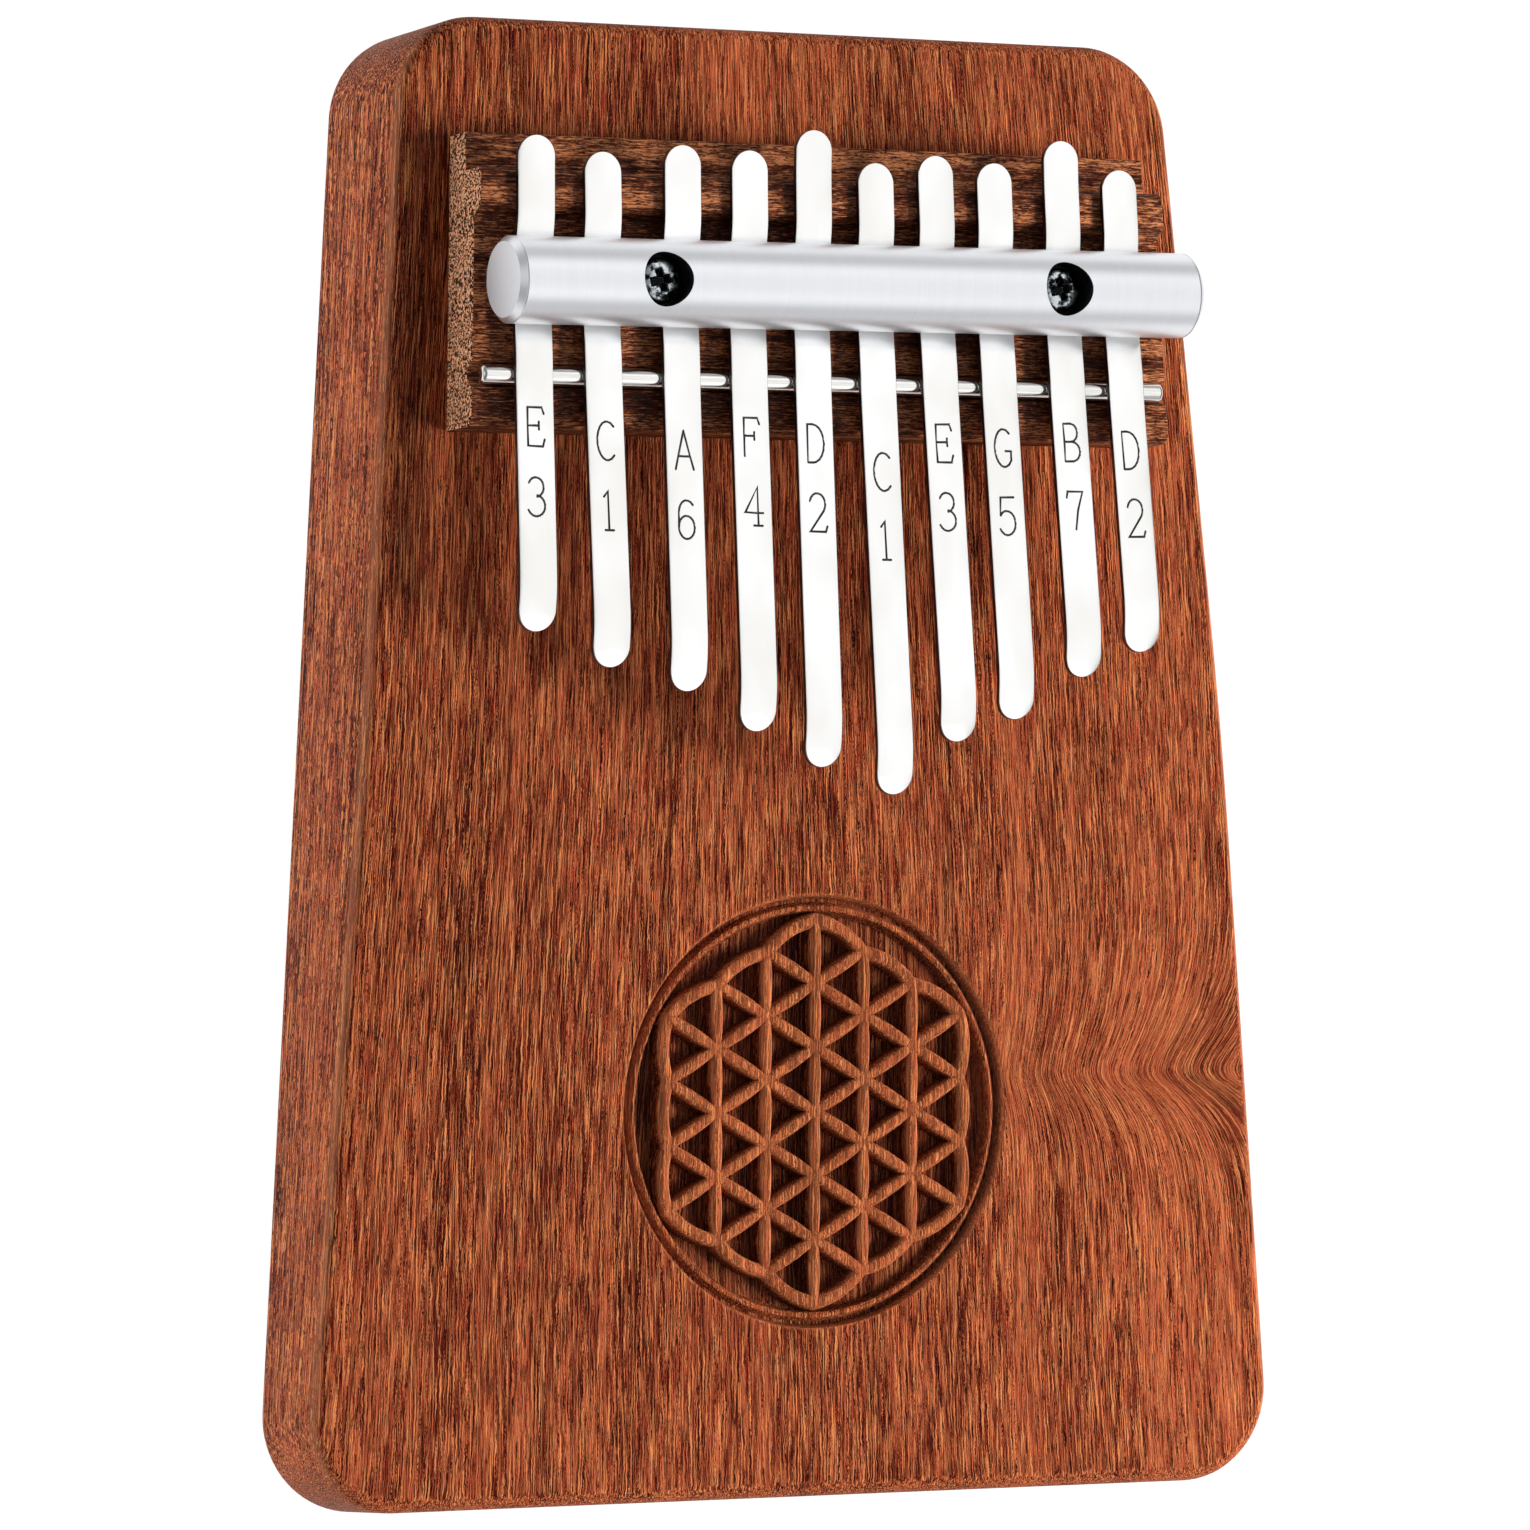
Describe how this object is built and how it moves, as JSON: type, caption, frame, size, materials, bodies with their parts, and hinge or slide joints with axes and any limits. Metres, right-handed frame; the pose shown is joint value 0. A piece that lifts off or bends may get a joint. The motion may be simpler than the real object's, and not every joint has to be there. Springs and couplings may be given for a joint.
{
  "type": "mbira",
  "caption": "Solid-body thumb piano: flat steel tines clamped by a round rod on a wooden saddle, over a tapered body with a carved round rosette.",
  "frame": {"origin": "centre of the flat back face, on the centre line, at mid-length", "axes": "+Z out of the front face, +Y towards the clamped ends of the tines, +X to the right as the front is seen with +Y up"},
  "size_m": [0.133, 0.18, 0.0402],
  "materials": {
    "body_wood": "satin lacquered reddish brown ribbon-grain hardwood",
    "saddle_wood": "satin dark brown hardwood with the grain crosswise",
    "spring_steel": "bright smooth nickel-like steel",
    "rod_aluminium": "fine satin",
    "screw_black": "glossy black oxide"
  },
  "bodies": {
    "root": {"body": "body_wood", "saddle": "saddle_wood", "bridge_wire": "spring_steel", "clamp_rod": "rod_aluminium", "clamp_screw_left": "screw_black", "clamp_screw_right": "screw_black"},
    "tine_01_tail": {"tine_01_tail": "spring_steel"},
    "tine_01_blade": {"tine_01_blade": "spring_steel"},
    "tine_02_tail": {"tine_02_tail": "spring_steel"},
    "tine_02_blade": {"tine_02_blade": "spring_steel"},
    "tine_03_tail": {"tine_03_tail": "spring_steel"},
    "tine_03_blade": {"tine_03_blade": "spring_steel"},
    "tine_04_tail": {"tine_04_tail": "spring_steel"},
    "tine_04_blade": {"tine_04_blade": "spring_steel"},
    "tine_05_tail": {"tine_05_tail": "spring_steel"},
    "tine_05_blade": {"tine_05_blade": "spring_steel"},
    "tine_06_tail": {"tine_06_tail": "spring_steel"},
    "tine_06_blade": {"tine_06_blade": "spring_steel"},
    "tine_07_tail": {"tine_07_tail": "spring_steel"},
    "tine_07_blade": {"tine_07_blade": "spring_steel"},
    "tine_08_tail": {"tine_08_tail": "spring_steel"},
    "tine_08_blade": {"tine_08_blade": "spring_steel"},
    "tine_09_tail": {"tine_09_tail": "spring_steel"},
    "tine_09_blade": {"tine_09_blade": "spring_steel"},
    "tine_10_tail": {"tine_10_tail": "spring_steel"},
    "tine_10_blade": {"tine_10_blade": "spring_steel"}
  },
  "joints": [
    {"name": "tine_01_tune", "type": "slide", "parent": "root", "child": "tine_01_tail", "axis": [0.0244, 0.9997, 0], "range_m": [-0.001, 0.001]},
    {"name": "tine_01_pluck", "type": "hinge", "parent": "tine_01_tail", "child": "tine_01_blade", "pos_m": [-0.0408, 0.0456, 0.02965], "axis": [0.9997, -0.0244, 0], "range_deg": [-3, 5], "stiffness_Nm_per_rad": 0.15},
    {"name": "tine_02_tune", "type": "slide", "parent": "root", "child": "tine_02_tail", "axis": [0.0087, 1, 0], "range_m": [-0.001, 0.001]},
    {"name": "tine_02_pluck", "type": "hinge", "parent": "tine_02_tail", "child": "tine_02_blade", "pos_m": [-0.0315, 0.0456, 0.02965], "axis": [1, -0.0087, 0], "range_deg": [-3, 5], "stiffness_Nm_per_rad": 0.15},
    {"name": "tine_03_tune", "type": "slide", "parent": "root", "child": "tine_03_tail", "axis": [0.0175, 0.9998, 0], "range_m": [-0.001, 0.001]},
    {"name": "tine_03_pluck", "type": "hinge", "parent": "tine_03_tail", "child": "tine_03_blade", "pos_m": [-0.0209, 0.0456, 0.02965], "axis": [0.9998, -0.0175, 0], "range_deg": [-3, 5], "stiffness_Nm_per_rad": 0.15},
    {"name": "tine_04_tune", "type": "slide", "parent": "root", "child": "tine_04_tail", "axis": [0.0157, 0.9999, 0], "range_m": [-0.001, 0.001]},
    {"name": "tine_04_pluck", "type": "hinge", "parent": "tine_04_tail", "child": "tine_04_blade", "pos_m": [-0.0117, 0.0456, 0.02965], "axis": [0.9999, -0.0157, 0], "range_deg": [-3, 5], "stiffness_Nm_per_rad": 0.15},
    {"name": "tine_05_tune", "type": "slide", "parent": "root", "child": "tine_05_tail", "axis": [0.0157, 0.9999, 0], "range_m": [-0.001, 0.001]},
    {"name": "tine_05_pluck", "type": "hinge", "parent": "tine_05_tail", "child": "tine_05_blade", "pos_m": [-0.0029, 0.0456, 0.02965], "axis": [0.9999, -0.0157, 0], "range_deg": [-3, 5], "stiffness_Nm_per_rad": 0.15},
    {"name": "tine_06_tune", "type": "slide", "parent": "root", "child": "tine_06_tail", "axis": [0, 1, 0], "range_m": [-0.001, 0.001]},
    {"name": "tine_06_pluck", "type": "hinge", "parent": "tine_06_tail", "child": "tine_06_blade", "pos_m": [0.0061, 0.0456, 0.02965], "axis": [1, 0, 0], "range_deg": [-3, 5], "stiffness_Nm_per_rad": 0.15},
    {"name": "tine_07_tune", "type": "slide", "parent": "root", "child": "tine_07_tail", "axis": [-0.0122, 0.9999, 0], "range_m": [-0.001, 0.001]},
    {"name": "tine_07_pluck", "type": "hinge", "parent": "tine_07_tail", "child": "tine_07_blade", "pos_m": [0.0148, 0.0456, 0.02965], "axis": [0.9999, 0.0122, 0], "range_deg": [-3, 5], "stiffness_Nm_per_rad": 0.15},
    {"name": "tine_08_tune", "type": "slide", "parent": "root", "child": "tine_08_tail", "axis": [-0.014, 0.9999, 0], "range_m": [-0.001, 0.001]},
    {"name": "tine_08_pluck", "type": "hinge", "parent": "tine_08_tail", "child": "tine_08_blade", "pos_m": [0.0231, 0.0456, 0.02965], "axis": [0.9999, 0.014, 0], "range_deg": [-3, 5], "stiffness_Nm_per_rad": 0.15},
    {"name": "tine_09_tune", "type": "slide", "parent": "root", "child": "tine_09_tail", "axis": [-0.0209, 0.9998, 0], "range_m": [-0.001, 0.001]},
    {"name": "tine_09_pluck", "type": "hinge", "parent": "tine_09_tail", "child": "tine_09_blade", "pos_m": [0.0328, 0.0456, 0.02965], "axis": [0.9998, 0.0209, 0], "range_deg": [-3, 5], "stiffness_Nm_per_rad": 0.15},
    {"name": "tine_10_tune", "type": "slide", "parent": "root", "child": "tine_10_tail", "axis": [-0.0262, 0.9997, 0], "range_m": [-0.001, 0.001]},
    {"name": "tine_10_pluck", "type": "hinge", "parent": "tine_10_tail", "child": "tine_10_blade", "pos_m": [0.0412, 0.0456, 0.02965], "axis": [0.9997, 0.0262, 0], "range_deg": [-3, 5], "stiffness_Nm_per_rad": 0.15}
  ]
}
